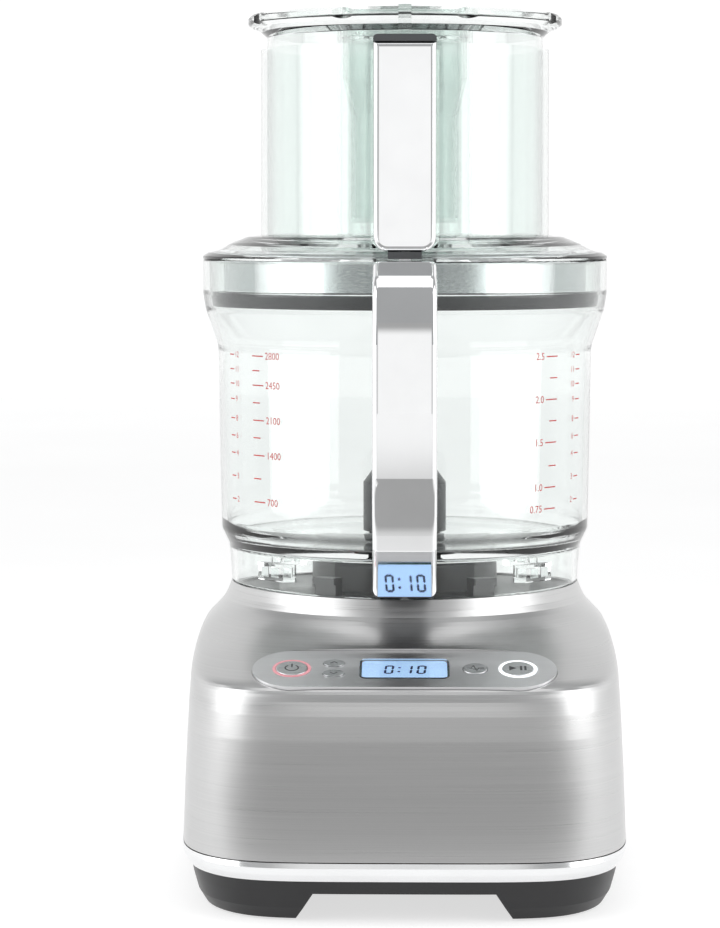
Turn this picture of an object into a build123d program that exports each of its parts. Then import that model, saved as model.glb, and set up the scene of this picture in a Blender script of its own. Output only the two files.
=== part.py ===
"""A large food processor: steel-clad motor base, clear work bowl with a front handle, lid with a wide
feed chute, nested pushers, adjustable slicing disc and the safety rods that link them.

Millimetres, +Z up. Every function models its piece about the bowl's axis, with the front towards -Y;
save() then moves it to the row frame, whose origin is the middle of the footprint on the table.
"""
from build123d import *
from math import cos, sin, tan, radians, pi, hypot
import os

# ------------------------------------------------------------------ driving dimensions
AXIS_Y = 16.0            # the bowl's axis lies this far behind the middle of the footprint
HEIGHT = 450.0
GAP = 0.25               # between neighbouring shells and between parts that slide

# base
NECK_R = 92.0            # the round neck that carries the bowl
NECK_Z = 151.5
SHELL_WALL = 2.2
SHELL_BOTTOM = 31.0
TRIM_BOTTOM = 21.0
TRAY_FLOOR = 14.4        # underside of the tray between its feet
FOOT_Z = 1.2             # bottom of the moulded feet, above the rubber pads
PLATFORM_Z = 150.6
BOSS_R = 49.0
BOSS_Z = 166.5

# control panel: a slot-shaped plate on a ledge that slopes down towards the front
PANEL_SLOPE = 16.6
PANEL_Y, PANEL_Z = -126.5, 123.1
PANEL_LENGTH, PANEL_WIDTH = 150.0, 41.0
PANEL_TOP, PANEL_THICKNESS = -1.2, 2.2
BUTTON_TRAVEL = 0.8
POWER_X, START_X, PULSE_X, TIMER_X, TIMER_V = -55.5, 55.8, 34.8, -34.8, 5.8
BUTTON_R, LIGHT_R, PULSE_R = 7.9, 9.5, 6.0
TIMER_HALF = (5.2, 3.7)
DISPLAY = (44.0, 22.0)

# motor
SHAFT_R = 6.0
SHAFT_TOP = 203.0
SHAFT_FLATS = 9.5
ROTOR_R = 30.0
STATOR_HALF = 50.0
STATOR_Z = (60.0, 100.0)
BEARING_R = 16.0

# bowl
BOWL_BOTTOM = 151.8
FLOOR_Z = (172.8, 176.0)
BODY_R = (97.4, 99.2)    # outer radius at the floor and below the collar
COLLAR_R = 107.2
RIM_Z = 321.8
WALL = 2.6
HUB_TUBE_R = (13.2, 17.2)
HUB_TUBE_TOP = 206.0
LUG_ANGLES = (-130, -50, 50, 130)

# handle and its safety rod
HANDLE_HALF = 15.75
COVER_THICKNESS = 5.0
ROD_Y = -112.0
ROD_TRAVEL = 4.0
ROD_HALF = (3.0, 1.5)
PLUNGER_Y = -85.0

# lid
CHUTE_R = 76.5
CHUTE_WALL = 2.5
CHUTE_TOP = 432.0
LID_SKIRT_BOTTOM = 304.5
BAR_FRONT = -119.0
BAR_BACK = -114.2
BAR_Z = (329.0, 426.3)
BAR_HALF = 16.9

# pushers
PUSHER_R = 73.0
PUSHER_BOTTOM = 325.8
DECK_Z = (438.5, 441.0)
FEED = (36.0, 25.0)      # half-axes of the small feed tube's outside
SMALL_BOTTOM = 341.0

# slicing disc
DISC_R = 96.0
DISC_Z = (319.5, 321.0)
DISC_RIM_BOTTOM = 306.0


# ------------------------------------------------------------------ helpers
def rod(r, z0, z1, x=0.0, y=0.0):
    return Pos(x, y, (z0 + z1) / 2) * Cylinder(r, z1 - z0)


def ring(r_out, r_in, z0, z1, x=0.0, y=0.0):
    return rod(r_out, z0, z1, x, y) - rod(r_in, z0 - 1, z1 + 1, x, y)


def block(x0, x1, y0, y1, z0, z1):
    return Pos((x0 + x1) / 2, (y0 + y1) / 2, (z0 + z1) / 2) * Box(x1 - x0, y1 - y0, z1 - z0)


def turned(points, radii=0.0):
    """A solid of revolution from a closed (r, z) outline, its corners rounded by radii."""
    outline = FilletPolyline(*points, radius=radii, close=True) if radii else Polyline(*points, close=True)
    return revolve(Plane.XZ * make_face(outline), Axis.Z)


def side_profile(points, half_width, radii=0.0):
    """A (y, z) outline extruded along X to both sides of the middle plane."""
    outline = FilletPolyline(*points, radius=radii, close=True) if radii else Polyline(*points, close=True)
    return extrude(Plane.YZ * make_face(outline), half_width, both=True)


def front_profile(points, y0, y1, radii=0.0):
    """An (x, z) outline extruded from y0 back to y1."""
    outline = FilletPolyline(*points, radius=radii, close=True) if radii else Polyline(*points, close=True)
    plane = Plane(origin=(0, y1, 0), x_dir=(1, 0, 0), z_dir=(0, -1, 0))
    return extrude(plane * make_face(outline), y1 - y0)


def oval(half_x, half_y, z0, z1):
    """A prism whose plan is a slot with round ends, half_x by half_y."""
    return extrude(Pos(0, 0, z0) * SlotOverall(2 * half_x, 2 * half_y), z1 - z0)


def plan_outline(z, front, back, half_width, front_power, back_power, inset=0.0, steps=32):
    """A closed, rounded plan outline: a superellipse whose front and back halves may differ."""
    middle, half_depth = (front + back) / 2, (back - front) / 2 - inset
    half_width = half_width - inset
    points = []
    for i in range(steps):
        turn = 2 * pi * i / steps
        power = front_power if sin(turn) < 0 else back_power
        reach = (abs(cos(turn) / half_width) ** power + abs(sin(turn) / half_depth) ** power) ** (-1 / power)
        points.append((reach * cos(turn), middle + reach * sin(turn), z))
    return make_face(Spline(*points, periodic=True))


def refined(table, first=0, parts=3):
    """The section table with extra sections blended smoothly between its rows, from row first on."""
    rows = list(table[:first + 1])
    last = len(table) - 1
    for i in range(first, last):
        a, b, c, d = table[max(i - 1, 0)], table[i], table[i + 1], table[min(i + 2, last)]
        for k in range(1, parts + 1):
            t = k / parts
            blend = (-t + 2 * t ** 2 - t ** 3, 2 - 5 * t ** 2 + 3 * t ** 3, t + 4 * t ** 2 - 3 * t ** 3, t ** 3 - t ** 2)
            rows.append(tuple(sum(w * v for w, v in zip(blend, values)) / 2 for values in zip(a, b, c, d)))
    return rows


def lofted(sections, inset=0.0, drop=0.0):
    return loft([plan_outline(z - drop, *rest, inset=inset) for z, *rest in sections], ruled=True)


def coil(radius, wire, z0, z1, turns, x=0.0, y=0.0):
    """A compression spring standing between z0 and z1."""
    height = z1 - z0 - wire
    path = Helix(pitch=height / turns, height=height, radius=radius)
    section = Plane(origin=path @ 0, z_dir=path % 0) * Circle(wire / 2)
    return Pos(x, y, z0 + wire / 2) * sweep(section, path)


def around(shape, angles):
    return [Rot(0, 0, a) * shape for a in angles]


def on_panel(shape, u=0.0, v=0.0, w=0.0):
    """Places a shape in the panel's own frame: u to the right, v up the slope, w out of the panel."""
    slope = radians(PANEL_SLOPE)
    plane = Plane(origin=(0, PANEL_Y, PANEL_Z), x_dir=(1, 0, 0), z_dir=(0, -sin(slope), cos(slope)))
    return plane * (Pos(u, v, w) * shape)


def panel_prism(sketch, w0, w1, u=0.0, v=0.0):
    return on_panel(extrude(sketch, w1 - w0), u, v, w0)


def inset_path(points, distance):
    """The open path moved sideways by distance, to the left of its direction."""
    moved = []
    for i, (y, z) in enumerate(points):
        before, after = points[max(i - 1, 0)], points[min(i + 1, len(points) - 1)]
        dy, dz = after[0] - before[0], after[1] - before[1]
        length = hypot(dy, dz)
        moved.append((y - dz / length * distance, z + dy / length * distance))
    return moved


# ------------------------------------------------------------------ base shells
# z, front, back, half width, front power, back power
SHELL_SECTIONS = [
    (SHELL_BOTTOM, -151.6, 119.6, 113.2, 4.8, 3.6),
    (64.0, -151.3, 119.2, 112.0, 4.8, 3.6),
    (90.0, -150.9, 118.8, 110.7, 4.8, 3.6),
    (102.0, -150.4, 118.5, 110.0, 4.8, 3.6),
    (109.0, -149.4, 118.1, 109.5, 4.8, 3.5),
    (113.8, -146.8, 117.6, 109.2, 4.9, 3.5),
    (116.6, -142.0, 117.2, 109.0, 5.0, 3.4),
    (119.2, -134.2, 116.7, 108.8, 5.0, 3.3),
    (122.4, -123.8, 115.9, 108.4, 4.9, 3.2),
    (125.8, -113.4, 114.6, 107.8, 4.5, 3.0),
    (129.2, -106.2, 112.2, 106.8, 3.6, 2.8),
    (132.6, -101.9, 108.3, 104.6, 2.9, 2.5),
    (136.8, -98.4, 102.6, 100.8, 2.35, 2.2),
    (142.8, -95.0, 96.4, 95.8, 2.05, 2.05),
    (NECK_Z, -NECK_R, NECK_R, NECK_R, 2.0, 2.0),
]
TRIM_SECTIONS = [
    (TRIM_BOTTOM, -148.6, 116.6, 110.4, 4.8, 3.6),
    (24.5, -151.0, 119.0, 112.8, 4.8, 3.6),
    (28.0, -152.0, 120.0, 113.8, 4.8, 3.6),
    (SHELL_BOTTOM - 0.5, -151.7, 119.7, 113.4, 4.8, 3.6),
]
TRAY_SECTIONS = [
    (FOOT_Z, -141.5, 108.0, 102.6, 4.8, 4.5),
    (7.0, -144.4, 110.8, 106.0, 4.8, 4.2),
    (TRAY_FLOOR, -146.2, 113.5, 108.0, 4.8, 3.8),
    (TRIM_BOTTOM - 0.4, -147.6, 115.6, 109.4, 4.8, 3.6),
]
REAR = (-55.0, 55.0, 44.0, 106.0)     # x and z limits of the rear cover
CORD_X, CORD_Z = 38.0, 53.0
PAD_PLACES = [(x, y) for x in (-76, 76) for y in (-106, 74)]
SCREW_PLACES = [(x, y) for x in (-62, 62) for y in (-86, 56)]


def rear_window(grow):
    x0, x1, z0, z1 = REAR
    points = [(x0 - grow, z0 - grow), (x1 + grow, z0 - grow), (x1 + grow, z1 + grow), (x0 - grow, z1 + grow)]
    return front_profile(points, 90, 140, 9 + grow)


def shell_outer():
    return lofted(refined(SHELL_SECTIONS, 3))


def shell_inner(extra=0.0):
    rows = refined(SHELL_SECTIONS, 3)
    open_bottom = (rows[0][0] - 6, *rows[0][1:])
    return lofted([open_bottom, *rows[1:]], inset=SHELL_WALL + extra, drop=SHELL_WALL + extra)


def housing():
    shell = shell_outer() - shell_inner() - rod(NECK_R - 2.5, NECK_Z - 12, NECK_Z + 5)
    shell -= panel_prism(SlotOverall(PANEL_LENGTH + 2 * GAP, PANEL_WIDTH + 2 * GAP), -14, 12)
    return shell - rear_window(GAP)


def rear_cover():
    cover = (shell_outer() - shell_inner(1.0)) & rear_window(0)
    for i in range(7):
        z = 66 + 5.2 * i
        cover -= Pos(0, 115, z) * Box(78, 40, 2.2)
    cover -= Pos(CORD_X, 115, CORD_Z) * Rot(90, 0, 0) * Cylinder(5.6, 40)
    return cover


def cord_bush():
    sleeve = Cylinder(5.4, 13) - Cylinder(3.7, 20)
    flange = Pos(0, 0, -6.2) * (Cylinder(8.0, 0.6) - Cylinder(3.7, 6))
    return Pos(CORD_X, 113.4, CORD_Z) * Rot(90, 0, 0) * (sleeve + flange)


def chrome_trim():
    inner = [(TRIM_SECTIONS[0][0] - 2, *TRIM_SECTIONS[0][1:]), *TRIM_SECTIONS[1:-1],
             (SHELL_BOTTOM + 2, *TRIM_SECTIONS[-1][1:])]
    return lofted(TRIM_SECTIONS) - lofted(inner, inset=3.0)


def whole_tray():
    tray = lofted(TRAY_SECTIONS)
    arch = [(-54.5, -1), (54.5, -1), (44.7, TRAY_FLOOR), (-44.7, TRAY_FLOOR)]
    tray -= front_profile(arch, -170, 170)
    side_arch = [(-68, -1), (42, -1), (33, TRAY_FLOOR), (-59, TRAY_FLOOR)]
    tray -= side_profile(side_arch, 150)
    top = TRAY_SECTIONS[-1]
    tray -= lofted([(TRAY_FLOOR + 3.0, *TRAY_SECTIONS[2][1:]), (top[0] + 2, *top[1:])], inset=3.0)
    for x, y in PAD_PLACES:
        tray -= rod(9.2, 0, 2.6, x, y)
    for x, y in SCREW_PLACES:
        tray -= rod(4.4, 0, 12, x, y) + rod(1.9, 0, 30, x, y)
    for i in range(9):
        length = 56 - abs(i - 4) * 6
        tray -= Pos(0, -32 + 8 * i, TRAY_FLOOR) * Box(length, 3.0, 12)
    return tray


def bottom_tray():
    return whole_tray() & block(-130, 130, -160, 130, TRAY_FLOOR, 40)


def tray_feet():
    """The four corner feet under the tray."""
    return whole_tray() & block(-130, 130, -160, 130, 0, TRAY_FLOOR)


def rubber_feet():
    return [rod(9.0, 0, 2.5, x, y) for x, y in PAD_PLACES]


def base_screws():
    screws = []
    for x, y in SCREW_PLACES:
        head = rod(3.6, 9.4, 11.9, x, y) - Pos(x, y, 9.4) * (Box(4.4, 0.9, 2.4) + Box(0.9, 4.4, 2.4))
        screws.append(head + rod(1.7, 11.9, 25.5, x, y))
    return screws


def chassis():
    """Inner frame plate that the tray screws into and the motor stands on."""
    _, front, back, half, power, _ = SHELL_SECTIONS[0]
    plate = extrude(plan_outline(25.0, front, back, half, power, power, inset=9.0), 3.0)
    plate -= rod(50, 20, 32)
    for x, y in MOTOR_CORNERS:
        plate -= rod(2.4, 20, 32, x, y)
    for x, y in SCREW_PLACES:
        plate += rod(5.0, TRAY_FLOOR + 3.1, 26.0, x, y)
        plate -= rod(1.8, 10, 40, x, y)
    return plate


def platform():
    """The deck in the neck: its raised hub, the bayonet hooks and the hole for the safety plunger."""
    deck = rod(NECK_R - 2.5 - GAP, 146.0, PLATFORM_Z) + rod(BOSS_R, 146.0, BOSS_Z)
    deck = fillet(deck.edges().filter_by(GeomType.CIRCLE).group_by(Axis.Z)[-1], 3.0)
    deck -= rod(BOSS_R - 3, 140, BOSS_Z - 3)
    deck -= rod(10.8, 140, 180)
    hook = block(-6, 6, -84.5, -78, PLATFORM_Z - 1, 161) + block(-6, 6, -87, -78, 157.5, 161)
    deck += around(hook, (-152, -28, 28, 152))
    return deck - rod(3.9, 140, 160, 0, PLUNGER_Y)


def shaft_seal():
    return turned([(6.08, 161.5), (10.5, 161.5), (10.5, BOSS_Z), (12.5, BOSS_Z), (11.0, BOSS_Z + 2), (6.08, BOSS_Z + 2)])


# ------------------------------------------------------------------ control panel
def control_panel():
    low = PANEL_TOP - PANEL_THICKNESS
    plate = panel_prism(SlotOverall(PANEL_LENGTH, PANEL_WIDTH), low, PANEL_TOP)
    for u, r in ((POWER_X, LIGHT_R), (START_X, LIGHT_R), (PULSE_X, PULSE_R + 0.2)):
        plate -= panel_prism(Circle(r + 0.1), low - 1, 1, u)
    for v in (TIMER_V, -TIMER_V):
        plate -= panel_prism(Ellipse(TIMER_HALF[0] + 0.3, TIMER_HALF[1] + 0.3), low - 1, 1, TIMER_X, v)
    return plate - panel_prism(RectangleRounded(DISPLAY[0] + 0.4, DISPLAY[1] + 0.4, 3.6), low - 1, 1)


def display_lens():
    lens = panel_prism(RectangleRounded(*DISPLAY, 3.4), -3.0, -0.8)
    return chamfer(lens.faces().sort_by(Axis.Z)[-1].edges(), 0.3)


def display_module():
    return panel_prism(RectangleRounded(DISPLAY[0] - 2, DISPLAY[1] - 2, 2.6), -6.8, -3.1)


def light_ring(u):
    return panel_prism(Circle(LIGHT_R) - Circle(BUTTON_R + 0.25), PANEL_TOP - 2.0, PANEL_TOP + 0.25, u)


def round_button(u, r):
    cap = panel_prism(Circle(r), -6.0, PANEL_TOP + 0.5, u)
    return fillet(cap.edges().filter_by(GeomType.CIRCLE).sort_by(Axis.Z)[-1], 0.6)


def timer_button(v):
    return panel_prism(Ellipse(*TIMER_HALF), -6.0, PANEL_TOP + 0.5, TIMER_X, v)


def control_board():
    board = panel_prism(Rectangle(140, 34), -10.6, -9.0)
    domes = [panel_prism(Circle(2.6), -9.0, -7.2, u, v)
             for u, v in ((POWER_X, 0), (START_X, 0), (PULSE_X, 0), (TIMER_X, TIMER_V), (TIMER_X, -TIMER_V))]
    return board + domes


# ------------------------------------------------------------------ motor
def motor_stator():
    side = 2 * STATOR_HALF
    core = extrude(Pos(0, 0, STATOR_Z[0]) * RectangleRounded(side, side, 14), STATOR_Z[1] - STATOR_Z[0])
    core -= rod(ROTOR_R + 0.6, 50, 110)
    for x, y in MOTOR_CORNERS:
        core -= rod(2.4, 50, 110, x, y)
    return core


MOTOR_CORNERS = [(x, y) for x in (-43, 43) for y in (-43, 43)]


def motor_windings():
    rings = []
    for z0, z1 in ((47.0, STATOR_Z[0]), (STATOR_Z[1], 113.0)):
        rings.append(turned([(33, z0), (44, z0), (44, z1), (33, z1)], 3.0))
    return rings


def bearing_carrier(plate_z, housing_z, post_z):
    """An end bracket: square plate, bearing cup and four posts to the stator."""
    plate = extrude(Pos(0, 0, plate_z[0]) * RectangleRounded(98, 98, 12), plate_z[1] - plate_z[0])
    plate += rod(BEARING_R + 3.5, *housing_z)
    plate -= rod(BEARING_R + 0.02, housing_z[0] - 1, housing_z[1] + 1)
    for x, y in MOTOR_CORNERS:
        plate += rod(4.5, *post_z, x, y)
        plate -= rod(2.4, 20, 140, x, y)
    for angle in (0, 90, 180, 270):
        plate -= Rot(0, 0, angle) * block(-16, 16, 26, 38, 20, 140)
    return plate


def motor_bottom_bracket():
    return bearing_carrier((34.5, 38.0), (34.5, 45.5), (34.5, STATOR_Z[0]))


def motor_top_bracket():
    return bearing_carrier((118.0, 121.5), (114.5, 125.5), (STATOR_Z[1], 121.5))


def motor_bearings():
    """Deep-groove ball bearings, each drawn as its two races with nine balls between them."""
    made = []
    for z0 in (35.0, 115.0):
        middle = z0 + 5
        outer = ring(BEARING_R, 13.0, z0, z0 + 10)
        inner = ring(9.0, SHAFT_R + 0.02, z0, z0 + 10)
        made += [outer, inner]
        made += [Rot(0, 0, 40 * i) * Pos(11.0, 0, middle) * Sphere(1.95) for i in range(9)]
    return made


def motor_bolts():
    return [rod(2.1, 22.5, 124.0, x, y) + rod(4.0, 121.5, 125.0, x, y) for x, y in MOTOR_CORNERS]


def motor_mounts():
    return [ring(7.5, 2.5, 28.0, 34.5, x, y) for x, y in MOTOR_CORNERS]


def run_capacitor():
    can = Rot(0, 90, 0) * Cylinder(15, 52)
    tabs = [Pos(28, dy, 0) * Box(8, 0.8, 6) for dy in (-5, 5)]
    return Pos(0, 84, 46) * (can + tabs)


def interlock_switch():
    body = block(-10, 10, -93, -77, 116, 127)
    tip = block(-1.6, 1.6, -86.5, -83.5, 127, 128.6)
    return body + tip


def motor_rotor():
    core = ring(ROTOR_R, SHAFT_R, 58, 102)
    ends = [ring(27, 17, 54, 58), ring(27, 17, 102, 106)]
    return core + ends


def motor_shaft():
    shaft = rod(SHAFT_R, 20, SHAFT_TOP)
    shaft = chamfer(shaft.edges().group_by(Axis.Z)[-1], 1.0)
    for side in (-1, 1):
        shaft -= Pos(side * (SHAFT_FLATS / 2 + 5), 0, 190) * Box(10, 30, 28)
    return shaft


def cooling_fan():
    hub = ring(13, SHAFT_R, 19.5, 30.5)
    disc = ring(44, SHAFT_R, 28.9, 30.5)
    blade = Pos(28, 0, 24.5) * Rot(0, 0, 22) * Box(30, 1.6, 10)
    return hub + disc + around(blade, range(0, 360, 30))


# ------------------------------------------------------------------ safety plunger in the base
def interlock_plunger():
    return rod(2.2, 133.0, 152.6, 0, PLUNGER_Y) + rod(4.4, 139.0, 141.0, 0, PLUNGER_Y)


def plunger_spring():
    return coil(3.3, 0.7, 127.2, 138.8, 5, 0, PLUNGER_Y)


# ------------------------------------------------------------------ bowl
BOWL_OUTSIDE = [(92.0, BOWL_BOTTOM), (93.4, 171.0), (BODY_R[0], 179.5), (BODY_R[1], 276.0), (105.8, 295.0),
                (COLLAR_R, 304.0), (COLLAR_R, RIM_Z)]
BOWL_OUTSIDE_RADII = [6, 5, 14, 16, 8]


def bowl_envelope(gap):
    """The bowl's outside as one filled body, gap larger all round."""
    outside = [(r + gap, z) for r, z in BOWL_OUTSIDE]
    points = [(0, BOWL_BOTTOM), *outside, (outside[-1][0], 330.0), (0, 330.0)]
    return turned(points, [0, 0, *BOWL_OUTSIDE_RADII, 0, 0, 0])


def bowl():
    outline = [
        *BOWL_OUTSIDE, (COLLAR_R - WALL, RIM_Z), (COLLAR_R - WALL, 305.0),
        (103.0, 297.0), (BODY_R[1] - WALL, 277.5), (BODY_R[0] - WALL, 183.0), (91.0, FLOOR_Z[1]),
        (HUB_TUBE_R[1], FLOOR_Z[1]), (HUB_TUBE_R[1], HUB_TUBE_TOP), (HUB_TUBE_R[0], HUB_TUBE_TOP),
        (HUB_TUBE_R[0], FLOOR_Z[0]), (88.8, FLOOR_Z[0]), (88.8, BOWL_BOTTOM),
    ]
    radii = [0.8, *BOWL_OUTSIDE_RADII, 1, 1, 8, 14, 12, 8, 3, 2, 1.2, 1.2, 1, 3, 0.8]
    vessel = turned(outline, radii)
    vessel -= block(-12.7, 12.7, -100, -70, BOWL_BOTTOM - 2, 171.6)
    lug = block(-10, 10, -90, -80, 157, 166) - block(-7, -1, -92, -82, 159, 164) - block(1, 7, -92, -82, 159, 164)
    vessel += around(lug, LUG_ANGLES)
    return vessel


# the handle's front, from its top at the collar down to its foot, as (y, z)
HANDLE_FRONT = [(-107.9, 321.6), (-126.0, 322.6), (-144.0, 312.0), (-151.0, 288.0), (-151.6, 250.0),
                (-150.6, 212.0), (-146.5, 194.0), (-140.0, 181.5), (-118.5, 156.6)]
HANDLE_FRONT_RADII = [8, 18, 40, 60, 60, 40, 3]
FINGER_SIDE = [(-97.4, 172.6), (-106.0, 176.0), (-118.0, 184.0), (-129.0, 199.0), (-131.6, 215.0),
               (-131.6, 268.0), (-126.0, 283.0), (-114.0, 290.0), (-105.6, 291.0)]
# the safety rod's middle line inside the handle, as (y, z)
ROD_LINE = [(ROD_Y, 322.6), (ROD_Y, 304.0), (-136.6, 290.0), (-136.6, 199.0), (-110.0, 165.4),
            (PLUNGER_Y, 165.4), (PLUNGER_Y, 152.9)]


def cover_blank(half_width, thickness):
    back = inset_path(HANDLE_FRONT, thickness)
    radii = [0, *HANDLE_FRONT_RADII, 0, 0, 1, 30, 50, 50, 30, 12, 5, 0]
    return side_profile([*HANDLE_FRONT, *reversed(back)], half_width, radii)


def handle_cover():
    back = inset_path(HANDLE_FRONT, COVER_THICKNESS)
    cover = cover_blank(HANDLE_HALF, COVER_THICKNESS)
    side_edges = [e for e in cover.edges() if abs(abs(e.center().X) - HANDLE_HALF) < 0.01]
    cover = fillet([e for e in side_edges if nearness(e, HANDLE_FRONT) < nearness(e, back)], 3.0)
    return cover - block(-3.6, 3.6, -114.1, -109.9, 300, 330)


def nearness(edge, path):
    """How far the middle of an edge lies from a (y, z) path."""
    middle = edge.position_at(0.5)
    return min(hypot(middle.Y - y, middle.Z - z) for y, z in dense(path))


def dense(points, parts=12):
    """Points spaced along the straight runs of a path."""
    found = []
    for (y0, z0), (y1, z1) in zip(points, points[1:]):
        found += [(y0 + (y1 - y0) * i / parts, z0 + (z1 - z0) * i / parts) for i in range(parts)]
    return found + [points[-1]]


def strip(line, half_thickness, half_width):
    """A flat strip that follows a (y, z) line, with square corners."""
    left, right = [], []
    for i, (y, z) in enumerate(line):
        turns = []
        for a, b in ((i - 1, i), (i, i + 1)):
            if 0 <= a and b < len(line):
                dy, dz = line[b][0] - line[a][0], line[b][1] - line[a][1]
                length = hypot(dy, dz)
                turns.append((-dz / length, dy / length))
        ny, nz = (sum(t[k] for t in turns) / len(turns) for k in (0, 1))
        stretch = half_thickness / (ny * ny + nz * nz)
        left.append((y + ny * stretch, z + nz * stretch))
        right.append((y - ny * stretch, z - nz * stretch))
    return side_profile(left + right[::-1], half_width)


def handle_rod():
    pressed = strip(ROD_LINE, ROD_HALF[1], ROD_HALF[0])
    lug = block(ROD_HALF[0] - 0.5, 10.5, -139.1, -134.3, 240.0, 242.5)
    return pressed + lug


def handle_rod_spring():
    return coil(2.2, 0.6, 224.2, 239.9, 6, 7.6, -136.7)


def handle_grip():
    inner_front = inset_path(HANDLE_FRONT, COVER_THICKNESS + 0.05)
    foot = [(-112.0, 155.3), (-79.0, 155.3), (-79.0, 171.2), (-92.0, 171.2)]
    outline = [(-95.0, 315.4), *inner_front, *foot, *FINGER_SIDE, (-95.0, 291.0)]
    grip = side_profile(outline, HANDLE_HALF - 1.2)
    side_edges = [e for e in grip.edges() if abs(abs(e.center().X) - HANDLE_HALF + 1.2) < 0.01]
    rounded = [e for e in side_edges if nearness(e, FINGER_SIDE) < 1.0 and 186 < e.position_at(0.5).Z < 284]
    grip = fillet(rounded, 3.5) - bowl_envelope(0.08) - cover_blank(HANDLE_HALF, COVER_THICKNESS + 0.05)
    # the foot is narrower, to pass through the notch in the bowl's skirt
    for side in (-1, 1):
        grip -= Pos(side * 17.2, -88, 163) * Box(10, 21, 20)
    for drop in (0, -1.5, -3.0, -4.5):
        grip -= Pos(0, 0, drop) * strip(ROD_LINE, ROD_HALF[1] + 0.6, ROD_HALF[0] + 0.6)
    grip -= block(-3.6, 3.6, -114.1, -109.9, 300, 330)
    grip -= block(-3.6, 3.6, PLUNGER_Y - 2.1, PLUNGER_Y + 2.1, 140, 160)
    return grip - block(ROD_HALF[0] - 0.8, 11.5, -140.2, -133.2, 223.8, 246.0)


def handle_screws():
    """Two screws that hold the cover to the grip, driven from the finger side."""
    screws = []
    for z in (212.0, 262.0):
        head = Pos(-8.5, -132.6, z) * Rot(90, 0, 0) * Cylinder(2.6, 2.0)
        shank = Pos(-8.5, -138.0, z) * Rot(90, 0, 0) * Cylinder(1.3, 10.0)
        screws.append(head + shank)
    return screws


def screw_holes(shape):
    for z in (212.0, 262.0):
        shape -= Pos(-8.5, -130.0, z) * Rot(90, 0, 0) * Cylinder(2.8, 7.4)
        shape -= Pos(-8.5, -138.0, z) * Rot(90, 0, 0) * Cylinder(1.4, 12.0)
    return shape


# ------------------------------------------------------------------ spindle and slicing disc
def spindle():
    body = turned([(0, 178.0), (12.4, 178.0), (12.4, 207.6), (18.2, 207.6), (18.2, 177.4), (22.0, 177.4),
                   (22.0, 203.0), (15.5, 212.0), (13.0, 224.0), (12.0, 303.0), (0, 303.0)])
    body += extrude(Pos(0, 0, 302) * RegularPolygon(8.6, 6), 15.5)
    bore = rod(SHAFT_R + 0.2, 170, SHAFT_TOP + 1.2)
    keyed = bore & block(-SHAFT_FLATS / 2 - 0.2, SHAFT_FLATS / 2 + 0.2, -10, 10, 170, 210)
    fins = around(block(-1.4, 1.4, 12, 17.0, 208, 217), range(0, 360, 60))
    return body + fins - keyed


def disc_hub():
    hub = rod(20, 304.0, DISC_Z[0]) - extrude(RegularPolygon(8.9, 6), 318.2)
    return hub + ring(26, 19, 317.0, DISC_Z[0])


def thickness_window(grow):
    """The part of the disc ahead of the blade, which sinks to set the slice's thickness."""
    plan = Pos(59.5, 22.0) * Rectangle(63 + 2 * grow, 40 + 2 * grow) & Circle(91.0 + grow)
    return extrude(Pos(0, 0, DISC_Z[0] - 15) * plan, 40)


def disc_plate():
    plate = rod(DISC_R, *DISC_Z)
    rim = ring(DISC_R, DISC_R - 1.4, DISC_RIM_BOTTOM, DISC_Z[1])
    rim = fillet(rim.edges().filter_by(GeomType.CIRCLE).sort_by(lambda e: -e.center().Z - e.radius)[0], 1.0)
    plate = (plate & rod(DISC_R - 1.0, 300, 330)) + rim
    return plate - thickness_window(0.35)


def slicing_blade():
    outline = [(-13.0, DISC_Z[1] + 0.2), (2.2, DISC_Z[1] + 0.2), (-1.6, DISC_Z[1] + 1.4), (-13.0, DISC_Z[1] + 1.4)]
    blade = Pos(57, 0, 0) * side_profile(outline, 34)
    feet = [block(x - 4, x + 4, -12, -4, DISC_Z[1], DISC_Z[1] + 0.3) for x in (32, 57, 82)]
    return (blade + feet) & rod(93, 300, 330)


def blade_screws():
    return [rod(2.0, DISC_Z[1] + 1.4, DISC_Z[1] + 2.2, x, -8) for x in (32, 57, 82)]


def thickness_plate():
    plate = thickness_window(0) & rod(DISC_R, *DISC_Z)
    return plate + [rod(2.0, 310.0, DISC_Z[0], x, 22) for x in (42, 76)]


def thickness_dial():
    dial = ring(33, 20.08, 305.0, 311.0)
    return dial - around(rod(4.0, 300, 320, 35.2, 0), range(0, 360, 30))


# ------------------------------------------------------------------ lid
def lid():
    dome = turned([
        (CHUTE_R - CHUTE_WALL, 324.6), (CHUTE_R - 0.3, 324.6), (CHUTE_R, 330.2), (84.0, 329.6), (92.0, 326.8),
        (98.0, 323.6), (100.9, 321.0), (101.0, LID_SKIRT_BOTTOM), (103.5, LID_SKIRT_BOTTOM),
        (104.0, RIM_Z + 0.3), (COLLAR_R + 0.1, RIM_Z + 0.3), (COLLAR_R + 0.1, 323.6), (104.5, 325.4),
        (98.6, 326.8), (92.0, 330.4), (84.0, 333.6), (CHUTE_R, 334.6), (CHUTE_R, CHUTE_TOP),
        (CHUTE_R - CHUTE_WALL, CHUTE_TOP),
    ])
    house = block(-BAR_HALF, BAR_HALF, BAR_BACK, -70, *BAR_Z)
    house = fillet(house.edges().filter_by(Axis.Y).group_by(Axis.Z)[0], 5.0)
    body = dome + house - rod(CHUTE_R - CHUTE_WALL, 320, 440)
    body -= block(-BAR_HALF + 2.4, BAR_HALF - 2.4, -130, -79.2, BAR_Z[0] + 2.4, BAR_Z[1] + 5)
    return body - block(-3.7, 3.7, -114.2, -109.8, 320, 340)


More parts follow.
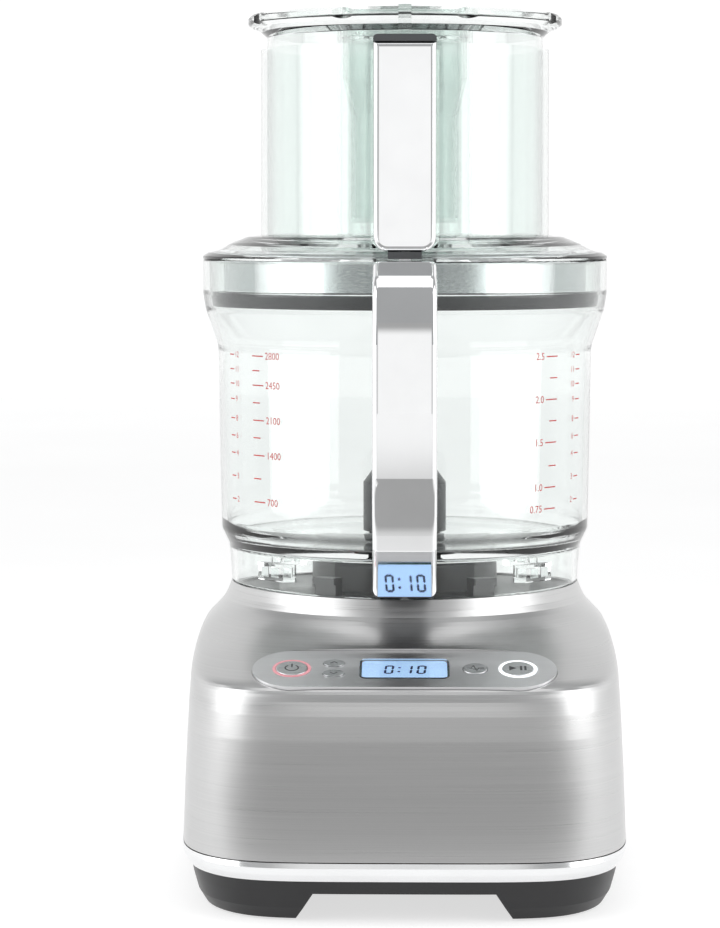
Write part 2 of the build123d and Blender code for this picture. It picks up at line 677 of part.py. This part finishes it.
def lid_seal():
    return turned([(100.7, 297.6), (102.4, 297.6), (102.9, 300.0), (103.1, LID_SKIRT_BOTTOM), (100.7, LID_SKIRT_BOTTOM)])


def chute_bar_cover():
    low, high = 327.0, 430.2
    points = [(-15.4, low), (15.4, low), (15.4, high), (-15.4, high)]
    face = front_profile(points, BAR_FRONT, BAR_BACK - 0.05, [7, 7, 0.6, 0.6])
    front_edges = [e for e in face.faces().sort_by(Axis.Y)[0].edges() if e.center().Z < high - 1]
    return fillet(front_edges, 2.8)


def chute_bar_cap():
    cap = block(-15.6, 15.6, BAR_FRONT + 0.3, -79.6, 430.3, 433.8)
    cap = fillet(cap.edges().filter_by(Axis.Y).group_by(Axis.Z)[-1], 2.2)
    cap += block(-15.6, 15.6, -114.1, -79.6, 426.4, 431)
    return cap - block(-3.9, 3.9, -116.0, -108.0, 420, 440)


def lid_latch():
    nose = block(-8.4, 8.4, -118.4, -108.4, 323.4, 326.9) + block(-8.4, 8.4, -114.1, -108.4, 326, BAR_Z[0] - 0.02)
    return nose - block(-3.7, 3.7, -114.2, -109.8, 320, 340)


def lid_rod():
    bar = block(-ROD_HALF[0], ROD_HALF[0], ROD_Y - ROD_HALF[1], ROD_Y + ROD_HALF[1], 322.9, 431.4)
    return bar + block(ROD_HALF[0] - 0.5, 11.4, -113.2, -105.8, 352.0, 354.5)


def lid_rod_spring():
    return coil(2.4, 0.6, BAR_Z[0] + 2.5, 351.9, 7, 8.0, -109.0)


# ------------------------------------------------------------------ pushers
def pusher():
    body = turned([
        (0, PUSHER_BOTTOM), (PUSHER_R, PUSHER_BOTTOM), (PUSHER_R, 438.6), (76.4, 441.6), (80.6, 443.4),
        (83.0, 445.2), (83.0, 448.4), (81.4, HEIGHT), (79.2, HEIGHT), (77.4, 446.6), (73.6, 443.4),
        (68.0, DECK_Z[1]), (0, DECK_Z[1]),
    ])
    cavity = rod(PUSHER_R - 2.4, PUSHER_BOTTOM + 2.5, DECK_Z[0]) - oval(*FEED, 320, 442)
    scallops = around(rod(14, 430, 460, 0, -95.6), [22.5 + 45 * i for i in range(8)])
    arm = block(-3.2, 3.2, -115.0, -78.5, 443.9, 448.6) + block(-3.2, 3.2, -115.0, -109.2, 431.7, 448.6)
    feed_bore = oval(FEED[0] - 2.2, FEED[1] - 2.2, 320, 460)
    return body - cavity - scallops + arm - feed_bore


def small_pusher():
    """A hollow plunger: a wide head that fills the tube's mouth and a narrower body below it."""
    def skin(inset, bottom, top):
        wide, narrow = (32.9 - inset, 21.9 - inset), (28.4 - inset, 18.4 - inset)
        neck = loft([Pos(0, 0, z) * SlotOverall(2 * a, 2 * b)
                     for z, (a, b) in ((398.0, narrow), (417.0, wide))])
        return oval(*narrow, bottom, 398.0) + neck + oval(*wide, 417.0, top)
    body = skin(0, SMALL_BOTTOM, 444.2) + oval(37.6, 26.6, 441.3, 444.2)
    return body - skin(2.2, SMALL_BOTTOM + 2.4, 450)


# ------------------------------------------------------------------ every node
NODES = {
    "housing": housing,
    "rear_cover": rear_cover,
    "cord_bush": cord_bush,
    "chrome_trim": chrome_trim,
    "bottom_tray": bottom_tray,
    "tray_feet": tray_feet,
    "rubber_feet": rubber_feet,
    "base_screws": base_screws,
    "chassis": chassis,
    "platform": platform,
    "shaft_seal": shaft_seal,
    "control_panel": control_panel,
    "display_lens": display_lens,
    "display_module": display_module,
    "control_board": control_board,
    "power_light_ring": lambda: light_ring(POWER_X),
    "start_light_ring": lambda: light_ring(START_X),
    "power_button": lambda: round_button(POWER_X, BUTTON_R),
    "start_button": lambda: round_button(START_X, BUTTON_R),
    "pulse_button": lambda: round_button(PULSE_X, PULSE_R),
    "time_up_button": lambda: timer_button(TIMER_V),
    "time_down_button": lambda: timer_button(-TIMER_V),
    "motor_stator": motor_stator,
    "motor_windings": motor_windings,
    "motor_top_bracket": motor_top_bracket,
    "motor_bottom_bracket": motor_bottom_bracket,
    "motor_bearings": motor_bearings,
    "motor_bolts": motor_bolts,
    "motor_mounts": motor_mounts,
    "run_capacitor": run_capacitor,
    "interlock_switch": interlock_switch,
    "motor_rotor": motor_rotor,
    "motor_shaft": motor_shaft,
    "cooling_fan": cooling_fan,
    "interlock_plunger": interlock_plunger,
    "plunger_spring": plunger_spring,
    "bowl": bowl,
    "handle_cover": handle_cover,
    "handle_grip": lambda: screw_holes(handle_grip()),
    "handle_screws": handle_screws,
    "handle_rod": handle_rod,
    "handle_rod_spring": handle_rod_spring,
    "spindle": spindle,
    "disc_hub": disc_hub,
    "disc_plate": disc_plate,
    "slicing_blade": slicing_blade,
    "blade_screws": blade_screws,
    "thickness_plate": thickness_plate,
    "thickness_dial": thickness_dial,
    "lid": lid,
    "lid_seal": lid_seal,
    "chute_bar_cover": chute_bar_cover,
    "chute_bar_cap": chute_bar_cap,
    "lid_latch": lid_latch,
    "lid_rod": lid_rod,
    "lid_rod_spring": lid_rod_spring,
    "pusher": pusher,
    "small_pusher": small_pusher,
}


def save(name, shape):
    solids = [s for piece in (shape if isinstance(shape, list) else [shape]) for s in piece.solids()]
    moved = [Pos(0, AXIS_Y, 0) * s for s in solids]
    export_step(moved[0] if len(moved) == 1 else Compound(children=moved), f"parts/{name}.step")


os.makedirs("parts", exist_ok=True)
for node, make in NODES.items():
    save(node, make())
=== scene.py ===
"""Looks for the food processor: materials, marks, springs, lights, floor and camera, in metres and the part's own frame."""
import bpy
from math import sin, cos, pi, radians, hypot
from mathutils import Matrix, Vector


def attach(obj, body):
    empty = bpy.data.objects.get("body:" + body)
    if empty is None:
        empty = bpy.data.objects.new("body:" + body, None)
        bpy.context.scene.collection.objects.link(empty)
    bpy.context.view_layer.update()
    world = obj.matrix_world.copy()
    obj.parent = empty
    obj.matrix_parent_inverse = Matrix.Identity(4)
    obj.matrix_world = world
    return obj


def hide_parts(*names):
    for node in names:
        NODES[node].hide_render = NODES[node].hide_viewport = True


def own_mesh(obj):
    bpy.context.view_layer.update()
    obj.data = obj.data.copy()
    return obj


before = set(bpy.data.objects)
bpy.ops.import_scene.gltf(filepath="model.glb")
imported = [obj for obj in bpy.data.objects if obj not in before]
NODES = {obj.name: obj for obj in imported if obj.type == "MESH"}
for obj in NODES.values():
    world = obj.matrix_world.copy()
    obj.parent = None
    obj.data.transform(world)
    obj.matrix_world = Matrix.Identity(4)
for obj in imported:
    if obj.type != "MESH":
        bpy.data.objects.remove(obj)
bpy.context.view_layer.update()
MM = 0.001
AXIS = 0.016             # the bowl's axis lies this far behind the frame's origin
SLOPE = radians(16.6)    # of the control ledge
LEDGE = Vector((0, AXIS - 126.5 * MM, 123.1 * MM))    # the control panel's middle


# ---------------------------------------------------------------- materials
class Look:
    """A Principled material whose colour, roughness and bump come from procedural nodes."""

    def __init__(self, name, color, rough=0.4, **sockets):
        self.mat = bpy.data.materials.new(name)
        self.mat.use_nodes = True
        self.tree = self.mat.node_tree
        self.bsdf = self.tree.nodes["Principled BSDF"]
        self.set("Base Color", (*color, 1))
        self.set("Roughness", rough)
        for key, value in sockets.items():
            self.set(key.replace("_", " "), value)
        self.coords = self.node("ShaderNodeTexCoord").outputs["Object"]
        self.height = None

    def set(self, socket, value):
        self.bsdf.inputs[socket].default_value = value

    def node(self, kind, **settings):
        made = self.tree.nodes.new(kind)
        for key, value in settings.items():
            setattr(made, key, value)
        return made

    def link(self, a, b):
        self.tree.links.new(a, b)

    def noise(self, stretch, detail=3.0, rough=0.55, distortion=0.0):
        """Noise whose frequency along each axis is stretch, in waves per metre."""
        mapping = self.node("ShaderNodeMapping")
        mapping.inputs["Scale"].default_value = stretch
        tex = self.node("ShaderNodeTexNoise")
        tex.inputs["Scale"].default_value = 1.0
        tex.inputs["Detail"].default_value = detail
        tex.inputs["Roughness"].default_value = rough
        tex.inputs["Distortion"].default_value = distortion
        self.link(self.coords, mapping.inputs["Vector"])
        self.link(mapping.outputs["Vector"], tex.inputs["Vector"])
        return tex.outputs["Fac"]

    def span(self, fac, low, high, start=0.3, end=0.7):
        made = self.node("ShaderNodeMapRange")
        for key, value in (("From Min", start), ("From Max", end), ("To Min", low), ("To Max", high)):
            made.inputs[key].default_value = value
        self.link(fac, made.inputs["Value"])
        return made.outputs["Result"]

    def color_from(self, fac, dark, light, start=0.3, end=0.7):
        ramp = self.node("ShaderNodeValToRGB")
        ramp.color_ramp.elements[0].position, ramp.color_ramp.elements[1].position = start, end
        ramp.color_ramp.elements[0].color, ramp.color_ramp.elements[1].color = (*dark, 1), (*light, 1)
        self.link(fac, ramp.inputs["Fac"])
        self.link(ramp.outputs["Color"], self.bsdf.inputs["Base Color"])
        return self

    def rough_from(self, fac, low, high):
        self.link(self.span(fac, low, high), self.bsdf.inputs["Roughness"])
        return self

    def bump_from(self, fac, distance, strength=1.0):
        bump = self.node("ShaderNodeBump")
        bump.inputs["Distance"].default_value = distance
        bump.inputs["Strength"].default_value = strength
        self.link(fac, bump.inputs["Height"])
        if self.height is not None:
            self.link(self.height, bump.inputs["Normal"])
        self.height = bump.outputs["Normal"]
        self.link(self.height, self.bsdf.inputs["Normal"])
        return self


def brushed(name, dark, light, rough=(0.27, 0.4), along=(6, 6, 2600), depth=0.00003):
    look = Look(name, light, rough[0], Metallic=1.0, Anisotropic=0.6)
    grain = look.noise(along, 4.0, 0.65)
    return look.color_from(grain, dark, light).rough_from(grain, *rough).bump_from(grain, depth, 0.35)


def plastic(name, dark, light, rough=(0.35, 0.5), grain=2500, depth=0.00004, **sockets):
    look = Look(name, light, rough[0], **sockets)
    fine, broad = look.noise((grain,) * 3, 2.0), look.noise((18, 18, 18), 3.0)
    return look.color_from(broad, dark, light).rough_from(broad, *rough).bump_from(fine, depth, 0.4)


def clear(name, tint, rough=0.02):
    look = Look(name, tint, rough, IOR=1.46, Transmission_Weight=1.0, Specular_IOR_Level=0.3)
    broad = look.noise((22, 22, 22), 2.0)
    shade = tuple(c * 0.994 for c in tint)
    return look.color_from(broad, shade, tint).rough_from(broad, rough * 0.6, rough * 1.6)


def glow(name, color, strength, rough=0.35):
    look = Look(name, color, rough, Emission_Strength=strength)
    look.set("Emission Color", (*color, 1))
    broad = look.noise((60, 60, 60), 2.0)
    return look.color_from(broad, tuple(c * 0.93 for c in color), color)


LOOKS = {
    "steel": brushed("brushed_steel_shell", (0.56, 0.56, 0.56), (0.62, 0.62, 0.618), (0.27, 0.34)),
    "panel": brushed("satin_silver_panel", (0.80, 0.80, 0.81), (0.86, 0.86, 0.87), (0.30, 0.38), (9, 1400, 1400)),
    "button": brushed("button_silver", (0.60, 0.61, 0.62), (0.70, 0.71, 0.72), (0.25, 0.35), (40, 900, 900)),
    "disc": brushed("rolled_steel", (0.58, 0.59, 0.60), (0.72, 0.73, 0.74), (0.16, 0.28), (30, 1500, 1500)),
    "tray": plastic("tray_moulded_plastic", (0.009, 0.009, 0.010), (0.016, 0.016, 0.017), (0.34, 0.5)),
    "deck": plastic("deck_moulded_plastic", (0.045, 0.048, 0.05), (0.065, 0.068, 0.07), (0.3, 0.42)),
    "grip": plastic("grip_soft_plastic", (0.045, 0.047, 0.05), (0.065, 0.068, 0.072), (0.45, 0.6)),
    "spindle": plastic("spindle_plastic", (0.035, 0.037, 0.04), (0.055, 0.058, 0.06), (0.3, 0.42)),
    "black": plastic("black_plastic", (0.012, 0.012, 0.013), (0.022, 0.022, 0.024), (0.35, 0.5)),
    "rubber": plastic("black_rubber", (0.010, 0.010, 0.010), (0.020, 0.020, 0.020), (0.7, 0.85), 900, 0.0001),
    "seal": plastic("grey_silicone_seal", (0.035, 0.037, 0.04), (0.055, 0.058, 0.06), (0.45, 0.6)),
    "copper": plastic("enamelled_copper", (0.35, 0.12, 0.05), (0.60, 0.24, 0.10), (0.25, 0.4), Metallic=0.9),
    "laminate": plastic("laminated_iron", (0.08, 0.08, 0.085), (0.16, 0.16, 0.17), (0.4, 0.6), Metallic=0.8),
    "cast": plastic("cast_aluminium", (0.42, 0.43, 0.44), (0.55, 0.56, 0.57), (0.45, 0.6), 1200, 0.0002, Metallic=0.9),
    "board": plastic("circuit_board", (0.01, 0.09, 0.035), (0.02, 0.13, 0.05), (0.3, 0.45)),
    "clear": clear("clear_tritan", (0.935, 0.957, 0.949)),
    "clear_lid": clear("clear_lid_plastic", (0.938, 0.960, 0.952)),
    "clear_small": clear("clear_small_pusher_plastic", (0.84, 0.875, 0.862)),
    "window": clear("display_window", (0.80, 0.90, 0.98), 0.03),
    "backlight": glow("display_backlight", (0.58, 0.75, 0.97), 0.72),
    "red_ring": glow("lit_red_ring", (0.62, 0.28, 0.31), 0.45),
    "white_ring": glow("lit_white_ring", (0.95, 0.97, 1.0), 0.8),
    "digit": plastic("display_digits", (0.01, 0.02, 0.10), (0.015, 0.03, 0.14), (0.4, 0.5)),
    "ink_grey": plastic("printed_grey_ink", (0.05, 0.05, 0.055), (0.08, 0.08, 0.085), (0.45, 0.6)),
    "ink_red": plastic("printed_red_ink", (0.42, 0.012, 0.010), (0.52, 0.022, 0.016), (0.45, 0.6)),
}
chrome = Look("polished_chrome", (0.90, 0.905, 0.91), 0.04, Metallic=1.0)
haze = chrome.noise((35, 35, 35), 4.0)
chrome.color_from(haze, (0.87, 0.875, 0.88), (0.92, 0.925, 0.93)).rough_from(haze, 0.025, 0.07)
LOOKS["chrome"] = chrome
trim = Look("satin_chrome_trim", (0.86, 0.865, 0.87), 0.2, Metallic=1.0)
haze = trim.noise((35, 35, 35), 4.0)
trim.color_from(haze, (0.84, 0.845, 0.85), (0.88, 0.885, 0.89)).rough_from(haze, 0.17, 0.23)
LOOKS["trim"] = trim

GIVEN = {
    "steel": ["housing"],
    "panel": ["control_panel"],
    "button": ["power_button", "start_button", "pulse_button", "time_up_button", "time_down_button"],
    "chrome": ["handle_cover", "chute_bar_cover"],
    "trim": ["chrome_trim"],
    "disc": ["disc_plate", "slicing_blade", "blade_screws", "thickness_plate", "base_screws", "handle_screws",
             "motor_bearings", "motor_bolts", "motor_shaft", "plunger_spring", "handle_rod_spring", "lid_rod_spring",
             "lid_rod", "handle_rod", "interlock_plunger"],
    "tray": ["bottom_tray", "tray_feet", "rear_cover"],
    "deck": ["platform"],
    "grip": ["handle_grip", "chute_bar_cap", "lid_latch"],
    "spindle": ["spindle", "disc_hub", "thickness_dial"],
    "black": ["chassis", "cooling_fan", "run_capacitor", "interlock_switch"],
    "rubber": ["cord_bush", "rubber_feet", "shaft_seal", "motor_mounts"],
    "seal": ["lid_seal"],
    "copper": ["motor_windings"],
    "laminate": ["motor_stator", "motor_rotor"],
    "cast": ["motor_top_bracket", "motor_bottom_bracket"],
    "board": ["control_board"],
    "clear": ["bowl"],
    "clear_lid": ["lid", "pusher"],
    "clear_small": ["small_pusher"],
    "window": ["display_lens"],
    "backlight": ["display_module"],
    "red_ring": ["power_light_ring"],
    "white_ring": ["start_light_ring"],
}
for look, names in GIVEN.items():
    for name in names:
        NODES[name].data.materials.clear()
        NODES[name].data.materials.append(LOOKS[look].mat)


# ---------------------------------------------------------------- pieces
def piece(name, verts, faces, look, body):
    mesh = bpy.data.meshes.new(name)
    mesh.from_pydata([tuple(v) for v in verts], [], faces)
    mesh.materials.append(LOOKS[look].mat)
    made = bpy.data.objects.new(name, mesh)
    bpy.context.scene.collection.objects.link(made)
    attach(made, body)
    return made


def stroke(points, width, closed=False):
    """A flat ribbon of that width along (u, v) points, as outline quads."""
    count = len(points)
    left, right = [], []
    for i, (u, v) in enumerate(points):
        a = points[(i - 1) % count] if closed or i else points[i]
        b = points[(i + 1) % count] if closed or i < count - 1 else points[i]
        du, dv = b[0] - a[0], b[1] - a[1]
        length = hypot(du, dv) or 1
        left.append((u - dv / length * width / 2, v + du / length * width / 2))
        right.append((u + dv / length * width / 2, v - du / length * width / 2))
    runs = range(count if closed else count - 1)
    return [[left[i], left[(i + 1) % count], right[(i + 1) % count], right[i]] for i in runs]


def arc(cu, cv, r, start, end, steps=36):
    turns = [radians(start + (end - start) * i / steps) for i in range(steps + 1)]
    return [(cu + r * cos(t), cv + r * sin(t)) for t in turns]


def on_ledge(u, v, w):
    """A point in the panel's frame (mm): u right, v up the slope, w out of the panel."""
    return LEDGE + Vector((u, v * cos(SLOPE) - w * sin(SLOPE), v * sin(SLOPE) + w * cos(SLOPE))) * MM


def marks(name, polygons, w0, w1, look, body):
    """Thin printed or lit marks standing from w0 to w1 on the panel."""
    verts, faces = [], []
    for poly in polygons:
        n, first = len(poly), len(verts)
        verts += [on_ledge(u, v, w) for w in (w0, w1) for u, v in poly]
        faces += [list(range(first, first + n))[::-1], list(range(first + n, first + 2 * n))]
        faces += [[first + i, first + (i + 1) % n, first + n + (i + 1) % n, first + n + i] for i in range(n)]
    return piece(name, verts, faces, look, body)


def segment_digit(u, v, lit, height=9.4, width=4.6, bar=1.15, lean=0.09):
    """The lit bars of a seven-segment figure whose centre is at (u, v)."""
    h, w, b = height / 2, width / 2, bar / 2
    across = {"a": h - b, "g": 0.0, "d": -h + b}
    down = {"f": (-w + b, 1), "b": (w - b, 1), "e": (-w + b, -1), "c": (w - b, -1)}
    made = []
    for key in lit:
        if key in across:
            y = across[key]
            made.append([(-w + bar, y - b), (w - bar, y - b), (w - b - 0.2, y),
                         (w - bar, y + b), (-w + bar, y + b), (-w + b + 0.2, y)])
        else:
            x, side = down[key]
            low, high = sorted((side * 0.25, side * (h - b * 0.8)))
            made.append([(x, low), (x + b, low + b), (x + b, high - b),
                         (x, high), (x - b, high - b), (x - b, low + b)])
    return [[(u + x + lean * y, v + y) for x, y in poly] for poly in made]


digits = segment_digit(-7.6, 0, "abcdef") + segment_digit(1.6, 0, "bc") + segment_digit(8.4, 0, "abcdef")
digits += [arc(-2.6 + 0.09 * y, y, 0.75, 0, 340, 12) for y in (-2.2, 2.2)]    # the colon's two dots
marks("display_digits", digits, -3.08, -3.02, "digit", "base")

POWER, START, PULSE, TIMER = -55.5, 55.8, 34.8, -34.8    # the buttons' places along the panel
TOP, INK = -0.70, 0.05                                   # the buttons' tops, and how far the ink stands on them
icon = stroke(arc(POWER, -0.2, 3.2, 125, 415), 0.8) + stroke([(POWER, 0.6), (POWER, 4.4)], 0.8)
marks("power_icon", icon, TOP, TOP + INK, "ink_grey", "power_button_body")
icon = [[(START - 4.3, -2.4), (START - 0.6, 0), (START - 4.3, 2.4)],
        *[[(x, -2.4), (x + 1.1, -2.4), (x + 1.1, 2.4), (x, 2.4)] for x in (START + 1.0, START + 3.1)]]
marks("start_icon", icon, TOP, TOP + INK, "ink_grey", "start_button_body")
zigzag = ((-4.2, 0), (-2.0, 0), (-0.9, 2.8), (0.6, -2.8), (1.7, 0), (4.2, 0))
icon = stroke([(PULSE + u, v) for u, v in zigzag], 0.6)
marks("pulse_icon", icon, TOP, TOP + INK, "ink_grey", "pulse_button_body")
for body, v, sign in (("time_up_body", 5.8, 1), ("time_down_body", -5.8, -1)):
    icon = stroke([(TIMER - 1.8, v - 0.6 * sign), (TIMER, v + 1.0 * sign), (TIMER + 1.8, v - 0.6 * sign)], 0.55)
    marks(body + "_icon", icon, TOP, TOP + INK, "ink_grey", body)


# ---------------------------------------------------------------- springs drawn as coils of wire
def spring(node, body, x, y, z0, z1, r, wire, turns, steps=20, sides=8):
    """A coil of wire standing from z0 to z1 (mm)."""
    rings, foot = turns * steps, Vector((x * MM, AXIS + y * MM, z0 * MM))
    verts = []
    for i in range(rings + 1):
        turn = 2 * pi * i / steps
        rise = wire / 2 + (z1 - z0 - wire) * i / rings
        for k in range(sides):
            tilt = 2 * pi * k / sides
            reach = r + wire / 2 * cos(tilt)
            verts.append(foot + Vector((reach * cos(turn), reach * sin(turn), rise + wire / 2 * sin(tilt))) * MM)
    faces = [[i * sides + k, (i + 1) * sides + k, (i + 1) * sides + (k + 1) % sides, i * sides + (k + 1) % sides]
             for i in range(rings) for k in range(sides)]
    faces += [list(range(sides)), [rings * sides + k for k in range(sides)][::-1]]
    made = piece(node + "_coil", verts, faces, "disc", body)
    for polygon in made.data.polygons:
        polygon.use_smooth = len(polygon.vertices) == 4
    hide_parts(node)
    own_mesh(made)


spring("plunger_spring", "base", 0, -85.0, 127.2, 138.8, 3.3, 0.7, 5)
spring("handle_rod_spring", "bowl_body", 7.6, -136.7, 224.2, 239.9, 2.2, 0.6, 6)
spring("lid_rod_spring", "lid_body", 8.0, -109.0, 331.5, 351.9, 2.4, 0.6, 7)


# ---------------------------------------------------------------- marks printed on the bowl
PRINT_GAP = 0.08    # how far the print stands off the wall, in mm


def bowl_radius(z):
    """Outside radius of the bowl's wall, in mm, at height z."""
    return 97.4 + (99.2 - 97.4) * (z - 179.5) / (276.0 - 179.5)


def on_bowl(x, z, angle):
    """A point just off the wall: x mm round from angle (degrees from the front, right positive), at height z."""
    r = bowl_radius(z) + PRINT_GAP
    turn = radians(angle) + x / r
    return Vector((r * sin(turn) * MM, AXIS - r * cos(turn) * MM, z * MM))


def printed(name, polygons, angle, look):
    verts, faces = [], []
    for poly in polygons:
        first = len(verts)
        verts += [on_bowl(x, z, angle) for x, z in poly]
        faces.append(list(range(first, len(verts))))
    return piece(name, verts, faces, look, "bowl_body")


def bar(x0, x1, z, thick=0.6):
    steps = max(1, int(abs(x1 - x0) / 4))
    xs = [x0 + (x1 - x0) * i / steps for i in range(steps + 1)]
    low, high = z - thick / 2, z + thick / 2
    return [[(a, low), (b, low), (b, high), (a, high)] for a, b in zip(xs, xs[1:])]


def numeral(text, x, z, size, align="LEFT"):
    """The triangles of a printed number, as (x, z) polygons in mm."""
    curve = bpy.data.curves.new("numeral", "FONT")
    curve.body, curve.size, curve.align_x, curve.align_y = text, size, align, "CENTER"
    curve.resolution_u = 3
    made = bpy.data.objects.new("numeral", curve)
    mesh = bpy.data.meshes.new_from_object(made)
    found = [[(x + mesh.vertices[i].co.x, z + mesh.vertices[i].co.y) for i in p.vertices] for p in mesh.polygons]
    bpy.data.objects.remove(made)
    bpy.data.meshes.remove(mesh)
    return found


def scale(levels, side, size, long, short):
    """Graduations: a long tick with its number at each labelled level and short ones between."""
    made = []
    for z, text in levels:
        made += bar(0, side * (long if text else short), z)
        if text:
            made += numeral(text, side * (long + 1.5), z, size, "LEFT" if side > 0 else "RIGHT")
    return made


# each scale's levels: height in mm, and the number printed there
millilitres = [(273, "2800"), (265.5, ""), (258, "2450"), (249, ""), (240, "2100"),
               (231, ""), (222, "1400"), (210, ""), (198, "700")]
cups = [(273, "12"), (265.5, "11"), (258, "10"), (250, "9"), (240, "8"),
        (231, "6"), (222, "4"), (210, "3"), (198, "2")]
litres = [(273, "2.5"), (262, ""), (251, "2.0"), (240, ""), (229, "1.5"),
          (217, ""), (206, "1.0"), (195, "0.75")]
printed("millilitre_scale", scale(millilitres, 1, 5.2, 9, 6), -52, "ink_red")
printed("cup_scale", scale(cups, 1, 4.4, 5, 3.5), -66, "ink_red")
printed("litre_scale", scale(litres, -1, 5.2, 9, 6), 52, "ink_red")
printed("right_cup_scale", scale(cups, -1, 4.4, 5, 3.5), 66, "ink_red")

# ---------------------------------------------------------------- stage, light and camera
scene = bpy.context.scene


def slab(name, corners, look):
    mesh = bpy.data.meshes.new(name)
    mesh.from_pydata(corners, [], [[0, 1, 2, 3]])
    mesh.materials.append(look.mat)
    made = bpy.data.objects.new(name, mesh)
    scene.collection.objects.link(made)
    return made


pale = Look("pale_floor", (0.45, 0.45, 0.45), 0.8, Emission_Strength=0.67, Specular_IOR_Level=0.0)
pale.set("Emission Color", (1, 1, 1, 1))
pale.color_from(pale.noise((3, 3, 3), 2.0), (0.44, 0.44, 0.44), (0.46, 0.46, 0.46))
slab("floor", [(-40, -40, 0), (40, -40, 0), (40, 4, 0), (-40, 4, 0)], pale)
wall = Look("pale_backdrop", (0.2, 0.2, 0.2), 0.8, Emission_Strength=0.93, Specular_IOR_Level=0.0)
wall.set("Emission Color", (1, 1, 1, 1))
wall.color_from(wall.noise((3, 3, 3), 2.0), (0.19, 0.19, 0.19), (0.21, 0.21, 0.21))
slab("backdrop", [(-40, 4, 0), (40, 4, 0), (40, 4, 5), (-40, 4, 5)], wall)


def softbox(name, place, target, width, height, power):
    light = bpy.data.lights.new(name, "AREA")
    light.shape, light.size, light.size_y, light.energy = "RECTANGLE", width, height, power
    made = bpy.data.objects.new(name, light)
    scene.collection.objects.link(made)
    made.location = place
    made.visible_camera = False
    made.rotation_euler = (Vector(target) - Vector(place)).to_track_quat("-Z", "Y").to_euler()


softbox("left_softbox", (-1.25, -0.5, 0.6), (0, 0, 0.2), 1.2, 1.7, 13.5)
softbox("right_softbox", (1.25, -0.5, 0.6), (0, 0, 0.2), 1.2, 1.7, 13.5)
softbox("top_softbox", (0, -0.2, 1.7), (0, 0, 0.2), 1.4, 1.0, 4)


def card(name, corners, axis_ramps, inside, outside):
    """A soft-edged sheet seen only in reflections: its glow goes from outside to inside over each ramp."""
    look = Look(name, (0.02, 0.02, 0.02), 1.0, Specular_IOR_Level=0.0)
    look.set("Emission Color", (1, 1, 1, 1))
    look.color_from(look.noise((3, 3, 3), 2.0), (0.018, 0.018, 0.018), (0.022, 0.022, 0.022))
    split = look.node("ShaderNodeSeparateXYZ")
    look.link(look.coords, split.inputs["Vector"])
    share = None
    for axis, start, end in axis_ramps:
        ramp = look.node("ShaderNodeMapRange", interpolation_type="SMOOTHSTEP")
        ramp.inputs["From Min"].default_value, ramp.inputs["From Max"].default_value = start, end
        look.link(split.outputs[axis], ramp.inputs["Value"])
        if share is None:
            share = ramp.outputs["Result"]
        else:
            both = look.node("ShaderNodeMath", operation="MULTIPLY")
            look.link(share, both.inputs[0])
            look.link(ramp.outputs["Result"], both.inputs[1])
            share = both.outputs["Value"]
    look.link(look.span(share, outside, inside, 0.0, 1.0), look.bsdf.inputs["Emission Strength"])
    made = slab(name, corners, look)
    made.visible_camera = made.visible_shadow = made.visible_transmission = made.visible_diffuse = False


card("floor_flag", [(-1.2, -2.6, 0.002), (1.2, -2.6, 0.002), (1.2, -0.2, 0.002), (-1.2, -0.2, 0.002)],
     (("Y", -0.17, -0.33), ("Y", -2.0, -1.2), ("X", -0.9, -0.4), ("X", 0.9, 0.4)), 0.38, 1.0)
card("front_card", [(-1.0, -2.6, 0), (1.0, -2.6, 0), (1.0, -2.6, 1.6), (-1.0, -2.6, 1.6)],
     (("Z", 1.5, 0.8), ("X", -0.9, -0.3), ("X", 0.9, 0.3)), 1.0, 0.40)

world = bpy.data.worlds.new("studio")
scene.world = world
world.use_nodes = True
world.node_tree.nodes["Background"].inputs["Color"].default_value = (0.40, 0.405, 0.41, 1)
world.node_tree.nodes["Background"].inputs["Strength"].default_value = 1.0

camera = bpy.data.cameras.new("camera")
camera.lens, camera.sensor_width, camera.shift_y = 114.4, 36.0, -0.12
eye = bpy.data.objects.new("camera", camera)
scene.collection.objects.link(eye)
eye.location = (0, AXIS - 1.569, 0.345)
eye.rotation_euler = (radians(90 - 2.67), 0, radians(0.87))
scene.camera = eye
scene.view_settings.view_transform = "Standard"
# the lid and both pushers put eight clear walls in line, so light has to pass through many surfaces
scene.cycles.max_bounces = scene.cycles.transmission_bounces = 32
